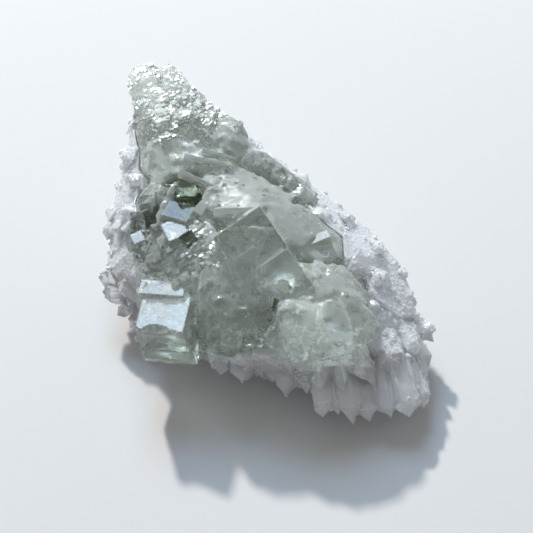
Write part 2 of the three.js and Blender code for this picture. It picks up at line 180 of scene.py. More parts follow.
def drop_crumbs(piece):
    """Takes away the loose crumbs that joining crystals leaves, so that the piece is one skin."""
    shape = bmesh.new()
    shape.from_mesh(piece.data)
    unseen = set(shape.verts)
    shells = []
    while unseen:
        shell = set()
        front = {unseen.pop()}
        while front:
            shell |= front
            front = {edge.other_vert(vert) for vert in front for edge in vert.link_edges} - shell
        unseen -= shell
        shells.append(shell)
    body = max(shells, key=len)
    bmesh.ops.delete(shape, geom=[vert for vert in shape.verts if vert not in body], context="VERTS")
    shape.to_mesh(piece.data)
    shape.free()


def face_middles(piece):
    """The middle of each face of a piece."""
    middles = np.empty(len(piece.data.polygons) * 3)
    piece.data.polygons.foreach_get("center", middles)
    return middles.reshape(-1, 3)


def set_on_faces(piece, name, values):
    """Keeps a number, or three, for each face of a piece."""
    values = np.asarray(values, float)
    kind, field = ("FLOAT", "value") if values.ndim == 1 else ("FLOAT_VECTOR", "vector")
    attribute = piece.data.attributes.get(name) or piece.data.attributes.new(name, kind, "FACE")
    attribute.data.foreach_set(field, values.ravel())


def seats_on(tree, given, mark):
    """Seats for crystals, spread over the faces as densely as their mark says."""
    share = put(tree, "GeometryNodeInputNamedAttribute", {"Name": mark})
    return put(tree, "GeometryNodeDistributePointsOnFaces", {
        "Mesh": given["Geometry"], "Distance Min": given["Spacing"], "Density Max": CROWDED,
        "Density Factor": share.outputs["Attribute"], "Seed": given["Seed"],
    }, distribute_method="POISSON")


def end_tree(tree, given, shape):
    """Makes the shape a real mesh, puts its material on it and sends it out of the tree."""
    real = put(tree, "GeometryNodeRealizeInstances", {"Geometry": shape})
    dressed = put(tree, "GeometryNodeSetMaterial", {
        "Geometry": real.outputs[0], "Material": given["Material"],
    })
    put(tree, "NodeGroupOutput", {0: dressed.outputs[0]})


def join_in_tree(tree, given, crystals):
    """Joins the crystals to the piece they stand on as one closed skin, with sharp edges."""
    whole = tree.nodes.new("GeometryNodeMeshBoolean")
    whole.operation = "UNION"
    whole.solver = "MANIFOLD"
    tree.links.new(given["Geometry"], whole.inputs[1])
    tree.links.new(crystals, whole.inputs[1])
    bend = put(tree, "GeometryNodeInputMeshEdgeAngle").outputs["Unsigned Angle"]
    edge = put(tree, "FunctionNodeCompare", {"A": bend, "B": CRYSTAL_EDGE}, operation="GREATER_THAN")
    smooth = put(tree, "GeometryNodeSetShadeSmooth", {
        "Geometry": whole.outputs["Mesh"], "Shade Smooth": True,
    }, domain="FACE")
    crisp = put(tree, "GeometryNodeSetShadeSmooth", {
        "Geometry": smooth.outputs[0], "Selection": edge.outputs[0], "Shade Smooth": False,
    }, domain="EDGE")
    end_tree(tree, given, crisp.outputs[0])


POINT_SIDES = 6
SHOULDER = (1.84, 1.84, 1.1)  # what the middle ring of a short point is stretched by, before it is scaled
SUNK = 0.8  # and how far its root is sunk
FLATTEST = 0.7  # the narrower width of the flattest point, as a share of the wider


def druse_tree():
    """Six-sided points that stand on every face with a `druse` value, each joined to the stone."""
    tree, given = shape_tree("Quartz druse", {
        "Spacing": ("NodeSocketFloat", 1 * MM),
        "Smallest": ("NodeSocketFloat", 0.3 * MM),
        "Largest": ("NodeSocketFloat", 0.6 * MM),
        "Length": ("NodeSocketFloat", 1.5),
        "Lean": ("NodeSocketFloat", 0.5),
        "Lowest": ("NodeSocketFloat", 1 * MM),
        "Seed": ("NodeSocketInt", 1),
        "Material": ("NodeSocketMaterial", None),
    })
    seats = seats_on(tree, given, "druse")
    # one point: a cone whose middle ring is pushed out, so that it has a prism under its tip
    cone = put(tree, "GeometryNodeMeshCone", {
        "Vertices": POINT_SIDES, "Side Segments": 2, "Radius Top": 0, "Radius Bottom": 1, "Depth": 2,
    })
    place = put(tree, "GeometryNodeInputPosition").outputs[0]
    height = put(tree, "ShaderNodeSeparateXYZ", {"Vector": place}).outputs["Z"]
    ring = put(tree, "FunctionNodeCompare", {"A": height, "B": 1.0, "Epsilon": 0.1}, operation="EQUAL")
    point = put(tree, "GeometryNodeSetPosition", {
        "Geometry": cone.outputs["Mesh"], "Selection": ring.outputs[0],
        "Position": vector(tree, "MULTIPLY", place, SHOULDER),
    })
    sunk = put(tree, "GeometryNodeTransform", {"Geometry": point.outputs[0], "Translation": (0, 0, -SUNK)})
    # it stands up from its face, leans a little and is turned at random
    lean = scaled(tree, random_vector(tree, (-1, -1, -1), (1, 1, 1), 11), given["Lean"])
    way = vector(tree, "ADD", seats.outputs["Normal"], lean)
    upright = put(tree, "FunctionNodeAlignRotationToVector", {"Vector": way}, axis="Z")
    spin = put(tree, "FunctionNodeAxisAngleToRotation", {"Angle": random_number(tree, 0.0, math.tau, 12)})
    turn = put(tree, "FunctionNodeRotateRotation", {
        "Rotation": upright.outputs[0], "Rotate By": spin.outputs[0],
    }, rotation_space="LOCAL")
    width = random_number(tree, given["Smallest"], given["Largest"], 13)
    scale = put(tree, "ShaderNodeCombineXYZ", {
        "X": width, "Y": number(tree, "MULTIPLY", width, random_number(tree, FLATTEST, 1.0, 14)),
        "Z": number(tree, "MULTIPLY", width, given["Length"]),
    })
    high = put(tree, "FunctionNodeCompare", {"A": height, "B": given["Lowest"]}, operation="GREATER_THAN")
    points = put(tree, "GeometryNodeInstanceOnPoints", {
        "Points": seats.outputs["Points"], "Selection": high.outputs[0], "Instance": sunk.outputs[0],
        "Rotation": turn.outputs[0], "Scale": scale.outputs[0],
    })
    join_in_tree(tree, given, points.outputs[0])
    return tree


FACET_LIE = (0.6, 0.1, -0.4)  # how the small facets lie in the stone, in radians
CLEAR_BELOW, CLOUD_ABOVE = 0.42, 0.6  # the noise between clear crystal and cloud
THIN_VEIL = 0.4  # the share of its frost that a clouded zone keeps between its clouds
CLOUD_DEPTH = 0.15  # how far towards the deep colour a cloud goes
MIDDLE = 0.5  # noise and random colours lie round this


def colour(red, green, blue):
    """A colour as the four numbers that a node takes."""
    return (red, green, blue, 1)


def growth_group():
    """Shared by both minerals: small facets that each tilt their own way, and clouds between clear parts."""
    group = bpy.data.node_groups.new("crystal growth", "ShaderNodeTree")
    for label, kind, value in [
        ("Facet Size", "Float", 1 * MM), ("Tilt", "Float", 0.1), ("Patch Size", "Float", 5 * MM),
        ("Broken", "Float", 1), ("Polish", "Float", 0.03), ("Frost", "Float", 0.2), ("Cloudy", "Float", 0),
        ("Pale", "Color", colour(1, 1, 1)), ("Deep", "Color", colour(1, 1, 1)), ("Depth", "Float", 0),
    ]:
        socket = group.interface.new_socket(label, in_out="INPUT", socket_type="NodeSocket" + kind)
        socket.default_value = value
    for label, kind in [("Color", "Color"), ("Roughness", "Float"), ("Normal", "Vector")]:
        group.interface.new_socket(label, in_out="OUTPUT", socket_type="NodeSocket" + kind)
    given = group.nodes.new("NodeGroupInput").outputs
    place = put(group, "ShaderNodeTexCoord").outputs["Object"]
    # the facets
    lying = put(group, "ShaderNodeVectorRotate", {"Vector": place, "Rotation": FACET_LIE},
                rotation_type="EULER_XYZ")
    facets = put(group, "ShaderNodeTexVoronoi", {
        "Vector": lying.outputs[0], "Scale": number(group, "DIVIDE", 1.0, given["Facet Size"]),
    }, distance="CHEBYCHEV")
    way = vector(group, "SUBTRACT", facets.outputs["Color"], [MIDDLE] * 3)
    tilt = scaled(group, way, number(group, "MULTIPLY", given["Tilt"], given["Broken"]))
    normal = put(group, "ShaderNodeNewGeometry").outputs["Normal"]
    tilted = vector(group, "NORMALIZE", vector(group, "ADD", normal, tilt))
    # the clouds, and the frost on them
    noise = put(group, "ShaderNodeTexNoise", {
        "Vector": place, "Scale": number(group, "DIVIDE", 1.0, given["Patch Size"]), "Detail": 5.0,
    })
    cloud = put(group, "ShaderNodeMapRange", {
        "Value": noise.outputs[0], "From Min": CLEAR_BELOW, "From Max": CLOUD_ABOVE,
    }).outputs[0]
    hue = put(group, "ShaderNodeSeparateColor", {"Color": facets.outputs["Color"]})
    uneven = number(group, "MULTIPLY", cloud, hue.outputs["Red"])
    veil = put(group, "ShaderNodeMapRange", {"Value": cloud, "To Min": THIN_VEIL})
    veiled = number(group, "MULTIPLY", veil.outputs[0], given["Cloudy"])
    frosted = number(group, "MAXIMUM", uneven, veiled)
    frost = put(group, "ShaderNodeMapRange", {
        "Value": frosted, "To Min": given["Polish"], "To Max": given["Frost"],
    })
    depth = number(group, "MULTIPLY_ADD", cloud, CLOUD_DEPTH, given["Depth"], use_clamp=True)
    shade = put(group, "ShaderNodeMix", {"Factor": depth, 6: given["Pale"], 7: given["Deep"]},
                data_type="RGBA")
    put(group, "NodeGroupOutput", {
        "Color": shade.outputs[2], "Roughness": frost.outputs[0], "Normal": tilted,
    })
    return group


crystal_growth = growth_group()
MILK_DEPTH = 3 * MM  # how far light spreads in milky crystal
HAZE_ROUGHNESS = 0.6


def crystal_material(name, index, clear, milky, haze, growth, tint=None, density=0):
    """A crystal's finish: how it bends light, how clear, milky and hazy it is, how it grew and its tint."""
    material = bpy.data.materials.new(name)
    material.use_nodes = True
    tree = material.node_tree
    skin = tree.nodes["Principled BSDF"]
    skin.inputs["Transmission Weight"].default_value = clear
    skin.inputs["Subsurface Weight"].default_value = milky
    skin.inputs["Subsurface Radius"].default_value = (1, 1, 1)
    skin.inputs["Subsurface Scale"].default_value = MILK_DEPTH
    skin.inputs["IOR"].default_value = index
    skin.inputs["Sheen Weight"].default_value = haze
    skin.inputs["Sheen Roughness"].default_value = HAZE_ROUGHNESS
    marks = tree.nodes.new("ShaderNodeGroup")
    marks.node_tree = crystal_growth
    for label, value in growth.items():
        if isinstance(value, str):
            zone = put(tree, "ShaderNodeAttribute", attribute_name=value)
            tree.links.new(zone.outputs["Fac"], marks.inputs[label])
        else:
            marks.inputs[label].default_value = value
    tree.links.new(marks.outputs["Color"], skin.inputs["Base Color"])
    tree.links.new(marks.outputs["Roughness"], skin.inputs["Roughness"])
    tree.links.new(marks.outputs["Normal"], skin.inputs["Normal"])
    if density:
        inside = put(tree, "ShaderNodeVolumeAbsorption", {"Color": tint, "Density": density})
        tree.links.new(inside.outputs[0], tree.nodes["Material Output"].inputs["Volume"])
    return material


QUARTZ_INDEX = 1.544
sugar_look = crystal_material("sugary quartz", QUARTZ_INDEX, clear=0.32, milky=0.8, haze=0.26, growth={
    "Facet Size": 0.6 * MM, "Tilt": 0.25, "Patch Size": 5 * MM, "Polish": 0.04, "Frost": 0.38,
    "Pale": colour(0.96, 0.97, 1), "Deep": colour(0.74, 0.745, 0.74), "Depth": "deep",
})
fringe_look = crystal_material("hazy quartz points", QUARTZ_INDEX, clear=0.5, milky=0.8, haze=0.15, growth={
    "Facet Size": 1.4 * MM, "Tilt": 0.22, "Patch Size": 3 * MM, "Polish": 0.02, "Frost": 0.2,
    "Pale": colour(0.985, 0.98, 0.985), "Deep": colour(0.91, 0.90, 0.91),
})
clear_look = crystal_material("clear quartz points", QUARTZ_INDEX, clear=0.72, milky=0.6, haze=0.15, growth={
    "Facet Size": 2.2 * MM, "Tilt": 0.2, "Patch Size": 3 * MM, "Polish": 0.02, "Frost": 0.2,
    "Pale": colour(0.97, 0.97, 0.97), "Deep": colour(0.88, 0.88, 0.87),
})
root_look = crystal_material("white quartz root", QUARTZ_INDEX, clear=0, milky=0, haze=0, growth={
    "Facet Size": 1.5 * MM, "Tilt": 0.2, "Patch Size": 4 * MM, "Polish": 0.3, "Frost": 0.6,
    "Pale": colour(0.97, 0.97, 0.97), "Deep": colour(0.3, 0.32, 0.27), "Depth": "deep",
})

quartz = copy_of("quartz_matrix", "quartz_druse")

# the long points of the fringe and of the left wing: root, apex, half width and length of the tip
LONG_POINTS = [
    ((-4.4, -14, 8.5), (-5.2, -21.9, 5.6), 2.1, 2.6), ((-7.4, -13.6, 8.6), (-9.4, -20.3, 6.2), 1.8, 2),
    ((-1.8, -14.6, 8.4), (-1, -20.9, 5.8), 1.7, 1.8), ((1.4, -15.6, 8.6), (1.4, -22.2, 6.2), 1.6, 1.8),
    ((3.6, -16.6, 8.8), (4.2, -24.8, 5.6), 2.3, 3), ((7, -17.4, 9), (8.2, -24.9, 6.4), 1.9, 2),
    ((10, -19, 9.4), (11.1, -29.8, 5.6), 2.1, 1.6), ((12.6, -20.4, 9.6), (13.8, -29.4, 5.8), 1.4, 1.6),
    ((14.8, -20.6, 9.8), (16.4, -31.2, 4.8), 2.5, 3.4), ((18, -21, 9), (19.5, -30.4, 4.6), 2, 2.4),
    ((20, -20.6, 10), (21.6, -28.2, 5.6), 1.2, 1.4), ((21.6, -19.4, 10.4), (23.9, -30, 5), 2.3, 2.6),
    ((24.4, -16.6, 11.6), (27.7, -29.6, 5), 3.2, 2.4), ((27, -17, 10.4), (30.7, -27.2, 4.8), 1.6, 1.8),
    ((28, -15, 9.4), (31.2, -22, 5.6), 1.7, 2), ((27.6, -12, 9.6), (32.2, -18.4, 6.6), 1.8, 2),
    ((27.6, -8.4, 9.8), (33.2, -13.4, 7.8), 1.7, 2),
    # a second row above them
    ((18, -18, 12), (20.4, -26, 10.4), 1.9, 2.2), ((22, -16.6, 12.6), (25, -23.8, 10.8), 2.2, 2.4),
    ((9.6, -18.8, 11), (10.4, -26.2, 9.4), 1.6, 2), ((13.6, -20, 11.4), (14.8, -27, 9.2), 1.8, 2.2),
    ((4.6, -17.6, 11), (5, -23.2, 9.8), 1.4, 1.6), ((26, -13, 12.4), (29.4, -19, 11), 1.8, 2),
    # the left wing
    ((-27.4, 0.4, 10.4), (-33.8, 0.8, 11.4), 2.4, 1.8), ((-27, -2.4, 8.6), (-32.8, -2.8, 8.8), 2.1, 1.6),
    ((-26, -4.6, 8.8), (-30, -7, 8.4), 1.5, 1.6),
]
POINT_FLATNESS = 0.8  # the narrower width of a long point, as a share of the wider
TIP_SLANT = 0.35  # how much the foot of the tip rises and falls, as a share of the tip
PEAK_OFFSET = 0.2  # how far the apex stands off the middle, as a share of the half width
NEXT_TURN = 0.7  # radians that each long point is turned further than the one before it


def long_point(spin, root, apex, radius, tip):
    """A six-sided prism with a slanting six-sided tip, as a mesh."""
    root, apex = row_place(root), row_place(apex)
    length = (apex - root).length
    upright = (apex - root).to_track_quat("Z", "Y").to_matrix() @ Matrix.Rotation(spin, 3, "Z")
    shape = bmesh.new()
    rings = []
    # the foot of the tip rises and falls twice on the way round, from a start of its own on each point
    for level, wander in [(0, 0), (length - tip * MM, TIP_SLANT * tip * MM)]:
        ring = []
        for side in range(POINT_SIDES):
            angle = math.tau * side / POINT_SIDES
            spot = Vector((radius * MM * math.cos(angle), POINT_FLATNESS * radius * MM * math.sin(angle), 0))
            spot.z = level + wander * math.sin(angle * 2 + spin * 5)
            ring.append(shape.verts.new(root + upright @ spot))
        rings.append(ring)
    peak = shape.verts.new(root + upright @ Vector((PEAK_OFFSET * radius * MM, 0, length)))
    shape.faces.new(rings[0][::-1])
    for side in range(POINT_SIDES):
        after = (side + 1) % POINT_SIDES
        shape.faces.new([rings[0][side], rings[0][after], rings[1][after], rings[1][side]])
        shape.faces.new([rings[1][side], rings[1][after], peak])
    mesh = bpy.data.meshes.new("long point")
    shape.to_mesh(mesh)
    shape.free()
    return mesh


def join_with(piece, meshes, operation="UNION"):
    """Joins some closed meshes to a piece, or takes them away from it."""
    others = bpy.data.collections.new("others")
    for mesh in meshes:
        others.objects.link(bpy.data.objects.new("other", mesh))
    join = piece.modifiers.new("join", "BOOLEAN")
    join.operand_type = "COLLECTION"
    join.collection = others
    join.operation = operation
    join.solver = "MANIFOLD"
    settle(piece)
    for other in list(others.objects):
        bpy.data.objects.remove(other)
    bpy.data.collections.remove(others)


join_with(quartz, [long_point(NEXT_TURN * count, *row) for count, row in enumerate(LONG_POINTS)])


def skin_of(node):
    """A solid's skin, for finding what lies near it."""
    shape = bmesh.new()
    shape.from_mesh(frame["nodes"][node].data)
    skin = BVHTree.FromBMesh(shape)
    shape.free()
    return skin


fluorite_skin = skin_of("fluorite_crystals")

# round patches of the stone: middle, reach and share, in millimetres. First the fringe at the front and the
# glassy points at the far left, whose points are long and bare to their roots
FRINGE = [
    ((2, -24, 5), 8, 1), ((14, -28, 5), 9, 1), ((25, -27, 6), 8, 1), ((31, -16, 6), 6, 1),
    ((-8, -22, 5), 6, 1), ((12, -25, 9), 5, 1), ((23, -23, 9), 7, 1),
]
CLEAR_POINTS = [((-33, -1, 10), 5.5, 1), ((-29, -6, 8), 4, 1)]
# where the crust is greyer
GREYER_CRUST = [
    ((-30, 2, 14), 11, 1), ((-30, 14, 18), 9, 0.5), ((30, -12, 9), 7, 0.15), ((20, -20, 12), 9, 0.25),
]
# and where the root is darkened, for the deep green of the fluorite above it and as painted shade under its
# hollows and its shaded front
ROOT_GREEN_AND_SHADE = [
    ((-15, 12, 15), 8, 1), ((-23.2, 4.6, 15), 8, 0.8), ((-19, -16, 9), 9, 0.5), ((-4, -18, 9), 9, 0.3),
]
PATCH_EDGE = 2.5  # how steeply a patch fades: over the outermost 1 / 2.5 of its reach
PATCH_HEART = 0.4  # a patch's own finish begins where the patch is this strong
UP_FRONT = Vector((0, -0.64, 0.77))  # the crust looks this way, and the flanks and the back look away from it
FLANK = -0.1  # how far a face may look away from it and still carry crust
UNDERSIDE = -0.9  # a face that looks down as much as this is the flat break, and stays bare
BARE_FOOT = 1.6  # how many of its own half widths a point keeps clear above the break
ROOT = 0.35 * MM  # how near the fluorite the quartz is all root


def within(middles, patches):
    """How deep each place lies in some round patches: a patch's own share well inside, 0 past its edge."""
    depths = []
    for place, reach, share in patches:
        far = np.linalg.norm(middles - np.array(row_place(place)), axis=1) / (reach * MM)
        depths.append(np.clip((1 - far) * PATCH_EDGE, 0, 1) * share)
    return np.max(depths, axis=0)


def far_from(skin, places, distance):
    """Says of each place whether a skin is further away than this."""
    return np.array([skin.find_nearest(Vector(place), distance)[0] is None for place in places])


def mark_druse(piece, crust, flank, fringe):
    """Says how densely points stand on the crust, the flanks and the fringe, clear of the fluorite."""
    middles = face_middles(piece)
    normals = np.empty(len(piece.data.polygons) * 3)
    piece.data.polygons.foreach_get("normal", normals)
    normals = normals.reshape(-1, 3)
    share = np.where(normals @ np.array(UP_FRONT) > FLANK, float(crust), float(flank))
    share += (fringe - share) * within(middles, FRINGE)
    share *= 1 - within(middles, CLEAR_POINTS)
    share *= normals[:, 2] > UNDERSIDE
    set_on_faces(piece, "druse", share * far_from(fluorite_skin, middles, CLEARANCE))


# three rounds of short points, from large to fine: spacing, least and greatest half width, length in half
# widths, lean, how densely they stand on the crust, the flanks and the fringe, and the seed
short_points = druse_tree()
for spacing, smallest, largest, length, lean, crust, flank, fringe, seed in [
    (2.6 * MM, 0.9 * MM, 1.9 * MM, 0.9, 0.35, 0, 1, 0, 2),
    (1.6 * MM, 0.45 * MM, 0.8 * MM, 0.5, 0.25, 0.6, 1, 0.15, 3),
    (0.75 * MM, 0.3 * MM, 0.5 * MM, 0.35, 0.2, 1, 0.5, 0, 4),
]:
    mark_druse(quartz, crust, flank, fringe)
    run_tree(quartz, short_points, spacing=spacing, smallest=smallest, largest=largest, length=length,
             lean=lean, lowest=BARE_FOOT * largest, seed=seed, material=sugar_look)
drop_crumbs(quartz)

# the crust is sugary, the fringe is hazy, the left wing is clear, and what lies under the fluorite is white
for look in [fringe_look, clear_look, root_look]:
    quartz.data.materials.append(look)
SUGARY, HAZY, CLEAR, WHITE = range(4)
quartz_middles = face_middles(quartz)
finish = np.where(within(quartz_middles, FRINGE) > PATCH_HEART, HAZY, SUGARY)
finish[within(quartz_middles, CLEAR_POINTS) > PATCH_HEART] = CLEAR
finish[~far_from(fluorite_skin, quartz_middles, ROOT)] = WHITE
quartz.data.polygons.foreach_set("material_index", finish)
# the root takes the deep colour as painted shade and deep green under the fluorite, and the crust takes it
# where it is greyer
root_green_and_shade = within(quartz_middles, ROOT_GREEN_AND_SHADE)
greyer_crust = within(quartz_middles, GREYER_CRUST)
set_on_faces(quartz, "deep", np.where(finish == WHITE, root_green_and_shade, greyer_crust))
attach(quartz, "root")
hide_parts("quartz_matrix")


# Fluorite
# One mass of pale green fluorite, cubes that grew into each other. Its tip, shoulder and left flank were
# etched into small cubes that all lie the same way in a patch, so that they glint together. The block, the
# broad face and the shelf stayed smooth and cloudy.
SKIN_GRAIN = 0.45 * MM  # how fine the mass is divided before its crystals grow on it
EDGE_WEAR = 0.12 * MM  # how much the edge of a large crystal is worn
BAR_TAPER = 0.5  # the width of a pale bar at its narrow end, as a share of the wide end
GROOVE_START = 0.4  # how far from the middle of an etched block its groove starts, as a share of its size
TOUCH = 0.05  # millimetres: this far outside a crystal, a place still counts as on it
SHORTEST, LONGEST = (0.8, 0.8, 0.8), (1.5, 1.2, 1.2)  # the sides of a small cube, as shares of its size

# the large crystals: the middle, the sides, and the turn as lean to the front, sway to the right and spin
BLOCK = ((-2.2, -4.9, 25.3), (13.5, 10.7, 10.8), (40, 3, -56))
CORNER_CUBE = ((-18.9, -15.2, 15.4), (9.4, 9.6, 10.6), (3, -7, -10))
LARGE_CRYSTALS = [
    # the square block below the crest, and the step below it
    BLOCK,
    ((2.8, -9.4, 22.4), (9, 8.4, 10), (41, 3, -56)),
    # the bright facets on the flank
    ((-16.8, 2.2, 26.3), (5.6, 4, 6), (3, -6, -24)),
    ((-17.4, -1.8, 25.4), (4.2, 4.8, 6), (1, -5, 22)),
    ((-25, 0.6, 21.4), (2.4, 2.8, 4), (3, -8, 24)),
    # and the one beside the smooth face on the right
    ((10.2, -1.8, 24.2), (4.6, 2, 3.6), (1, -5, 24)),
    # the corner cube: its body, the step behind its top face and the ledge under its front
    CORNER_CUBE,
    ((-19.3, -10.6, 15.9), (9, 3.4, 11.6), (3, -7, -10)),
    ((-18, -14.9, 12), (10.6, 10.4, 4.4), (3, -7, -10)),
]

# the pale bars and blades, which narrow to one end
PALE_BARS = [
    # round the hollow and the dark patch
    ((-19.8, 5.6, 26.6), (1.3, 10.4, 3.4), (22, -8, -24)),
    ((-12, 4.4, 28.8), (2.2, 6.6, 4), (22, 8, -30)),
    ((-13.2, 8.8, 30.4), (8.8, 1.2, 3), (30, 6, -22)),
    # the white blades above the broad face
    ((-11.6, 13.7, 31.1), (9.6, 1, 2.6), (34, 4, -10)),
    ((-9.4, 15.6, 30.8), (7, 1, 2.4), (34, 4, -14)),
    # the ledge along the crest
    ((-5.4, 0.4, 31), (9.6, 1.6, 1.8), (24, 2, 6)),
]

# small growths on the block: the middle as it lies in the block's own turn, and the sides
BLOCK_BARS = [
    ((-0.8, -2.1, 5.4), (0.7, 4.7, 0.9)), ((3.2, 1.2, 5.4), (0.4, 5, 0.5)), ((5.2, -3, 5.4), (1.6, 2.2, 0.6)),
]
# and what broke out of it and out of the corner cube
BLOCK_HOLLOWS = [
    ((-4.2, -2.2, 5.6), (4.4, 4.2, 2)), ((-4.8, 3, 5.4), (0.5, 4, 1)), ((1.2, 5, 5.2), (4, 1, 1.2)),
]
CUBE_CHIPS = [
    ((-0.6, -5, 5.5), (6, 3.4, 2.6)), ((2.4, -5.2, 5.2), (3, 1.8, 1.6)),
    ((-4.6, -4.9, 5.2), (1.6, 1.4, 1.2)), ((4.8, 4.4, 5.2), (1.6, 2, 2)),
]

# the open pits: the hollow between the pale bars, the dark patch left of it, the crevice by the shelf, and
# the small pit under the facets
PITS = [
    ((-14.9, 6.2, 26.6), (4.6, 4.8, 9), (40, 4, 28)),
    ((-23.2, 4.6, 25.4), (3.8, 5, 5), (40, -16, 20)),
    ((1.4, -17.4, 22.4), (0.8, 4.8, 5), (52, 8, -14)),
    ((-15, -4.2, 28.4), (2.6, 2.8, 3), (30, -8, 40)),
]

# the etched patches: middle, reach, how densely medium and small cubes cover it, and their turn. Where many
# flash at once, the turn lets them mirror the light.
MEDIUM, SMALL = range(2)
ETCHED_PATCHES = [
    # the tip and its whitish crown
    ((-25.2, 34.4, 31), 7, 0, 0.5, (0, -9, 34)),
    ((-18, 37.5, 33), 5, 0.15, 0.7, (1, -8, 10)),
    # the shoulder: two glittering streaks with dull faces between them, and the left wall
    ((-19.5, 24, 32.5), 6, 0.4, 0.9, (-1, -9, 18)),
    ((-13, 27, 31.5), 5, 0.5, 1, (0, -9, 52)),
    ((-15, 21, 31.5), 5, 0.6, 0.6, (38, -14, 52)),
    ((-27, 24, 26), 6, 0.3, 0.5, (44, -20, 10)),
    # the smooth knoll, tongue, slope and broad face
    ((-6, 21, 31), 6, 0, 0.05, (30, 24, 12)),
    ((-23, 16.6, 27), 5, 0, 0.08, (44, -20, 10)),
    ((-17, 15.5, 30.5), 6, 0, 0.06, (38, -14, 52)),
    ((-2, 5, 31), 11, 0, 0.05, (34, 4, -10)),
    # the ridge on the far side of the groove
    ((2, 15, 28), 7, 0.2, 0.4, (26, 22, -38)),
    # the broken flank, and the fine hatching beside the block
    ((-23.4, 4, 24), 6, 0.4, 0.7, (44, -20, 10)),
    ((-15, -3.4, 27), 4.5, 0.3, 0.8, (-3, -12, 40)),
    ((-20, -6, 22), 7, 0.9, 1, (24, -12, 28)),
    ((-8, -5, 29.5), 5, 0, 1, (-3, -11, -56)),
    # the block, the dull front and the broken front below it
    ((-1, -6, 30), 8, 0, 0.02, (40, 3, -56)),
    ((-6, -18, 24), 7, 0.05, 0.25, (40, 3, -56)),
    ((-5, -19, 13), 8, 0.5, 0.6, (70, 6, -24)),
    # the corner cube, clean, and the sparkling seam on its right
    ((-19, -16, 17), 7.5, 0, 0, (3, -7, -10)),
    ((-11, -17, 18), 4.5, 0.6, 0.9, (40, -4, 16)),
    # the smooth faces on the right, the shelf and its lobed edge
    ((9, -1, 27), 8, 0, 0.04, (32, 18, 30)),
    ((10, -16, 22), 9, 0, 0.05, (20, 10, 30)),
    ((9, -23, 17), 6, 0.2, 0.35, (32, 18, 30)),
]

# where the green is deepest, partly the crystal's own deeper green and partly painted shade on the faces that
# look to the front, in the hollows and in the groove: middle, reach and share
DEEP_GREEN_AND_SHADE = [
    ((-19, -19, 12), 8, 0.65), ((-1, -7, 29), 8.5, 0.26), ((-15, 7.6, 27), 5, 1), ((-16, 12, 24), 6, 1),
    ((-15, 13, 19), 6.5, 1), ((-23.2, 4.6, 24), 5.5, 0.52), ((2, 13, 27), 4, 0.17), ((-19, -6, 21), 7, 0.17),
    ((-6, -18, 19), 10, 0.28), ((-4, -19, 11), 9, 0.56), ((-12, -18, 15), 6, 0.43),
]
# where the crystal is clouded
CLOUDED = [
    ((-25, 34, 30), 8, 1), ((-18, 37, 32), 6, 1), ((-17, 25, 31), 9, 1.2), ((-6, 21, 30), 6, 1.2),
    ((-23, 17, 26), 5, 1.2), ((9, -1, 26), 10, 1.3), ((11, -16, 20), 11, 0.8), ((-2, 7, 30), 11, 2),
    ((-6, -18, 24), 8, 0.6),
]
BAR_CLOUD = 1.5  # and how much the pale bars are
# and where its faces grew whole
WHOLE = [
    ((-19, -16, 16), 10, 1), ((-1, -6, 28), 11, 0.9), ((-17.3, 1, 28), 4, 1), ((-3, 8, 30), 10, 0.35),
    ((9, -1, 26), 9, 0.4),
]
LEAST_BROKEN = 0.1  # how much the facets of a whole face still tilt
MORE_BROKEN = 0.5  # and how much more they do elsewhere, before any etching


def turning(turn):
    """A turn, given in degrees, as a matrix."""
    lean, sway, spin = (math.radians(angle) for angle in turn)
    return Matrix.Rotation(lean, 3, "X") @ Matrix.Rotation(sway, 3, "Y") @ Matrix.Rotation(spin, 3, "Z")


def slab(place, sides, turn, taper=1):
    """One large crystal, its edges worn a little, and narrower at one end if it tapers, as a mesh."""
    along = sides.index(max(sides))
    shape = bmesh.new()
    bmesh.ops.create_cube(shape, size=1)
    for vert in shape.verts:
        widths = [taper if vert.co[along] > 0 and axis != along else 1 for axis in range(3)]
        vert.co = Vector([spot * side * width * MM for spot, side, width in zip(vert.co, sides, widths)])
        vert.co = turning(turn) @ vert.co + row_place(place)
    bmesh.ops.bevel(shape, geom=shape.edges[:], offset=EDGE_WEAR, segments=1, affect="EDGES")
    mesh = bpy.data.meshes.new("slab")
    shape.to_mesh(mesh)
    shape.free()
    return mesh


def on_crystals(middles, crystals):
    """Says of each place whether it lies in or on one of these crystals."""
    found = np.zeros(len(middles), bool)
    for place, sides, turn in crystals:
        spots = (middles - np.array(row_place(place))) @ np.array(turning(turn))
        found |= (np.abs(spots) < (np.array(sides) / 2 + TOUCH) * MM).all(axis=1)
    return found


def in_turn(crystal, spot):
    """The place of a spot that is given in a crystal's own turn."""
    place, _, turn = crystal
    return Vector(place) + turning(turn) @ Vector(spot)


def chip(place, sides, turn):
    """A rounded bite, as a mesh."""
    shape = bmesh.new()
    bmesh.ops.create_icosphere(shape, subdivisions=2, radius=0.5)
    for vert in shape.verts:
        stretched = Vector([spot * side * MM for spot, side in zip(vert.co, sides)])
        vert.co = turning(turn) @ stretched + row_place(place)
    mesh = bpy.data.meshes.new("chip")
    shape.to_mesh(mesh)
    shape.free()
    return mesh


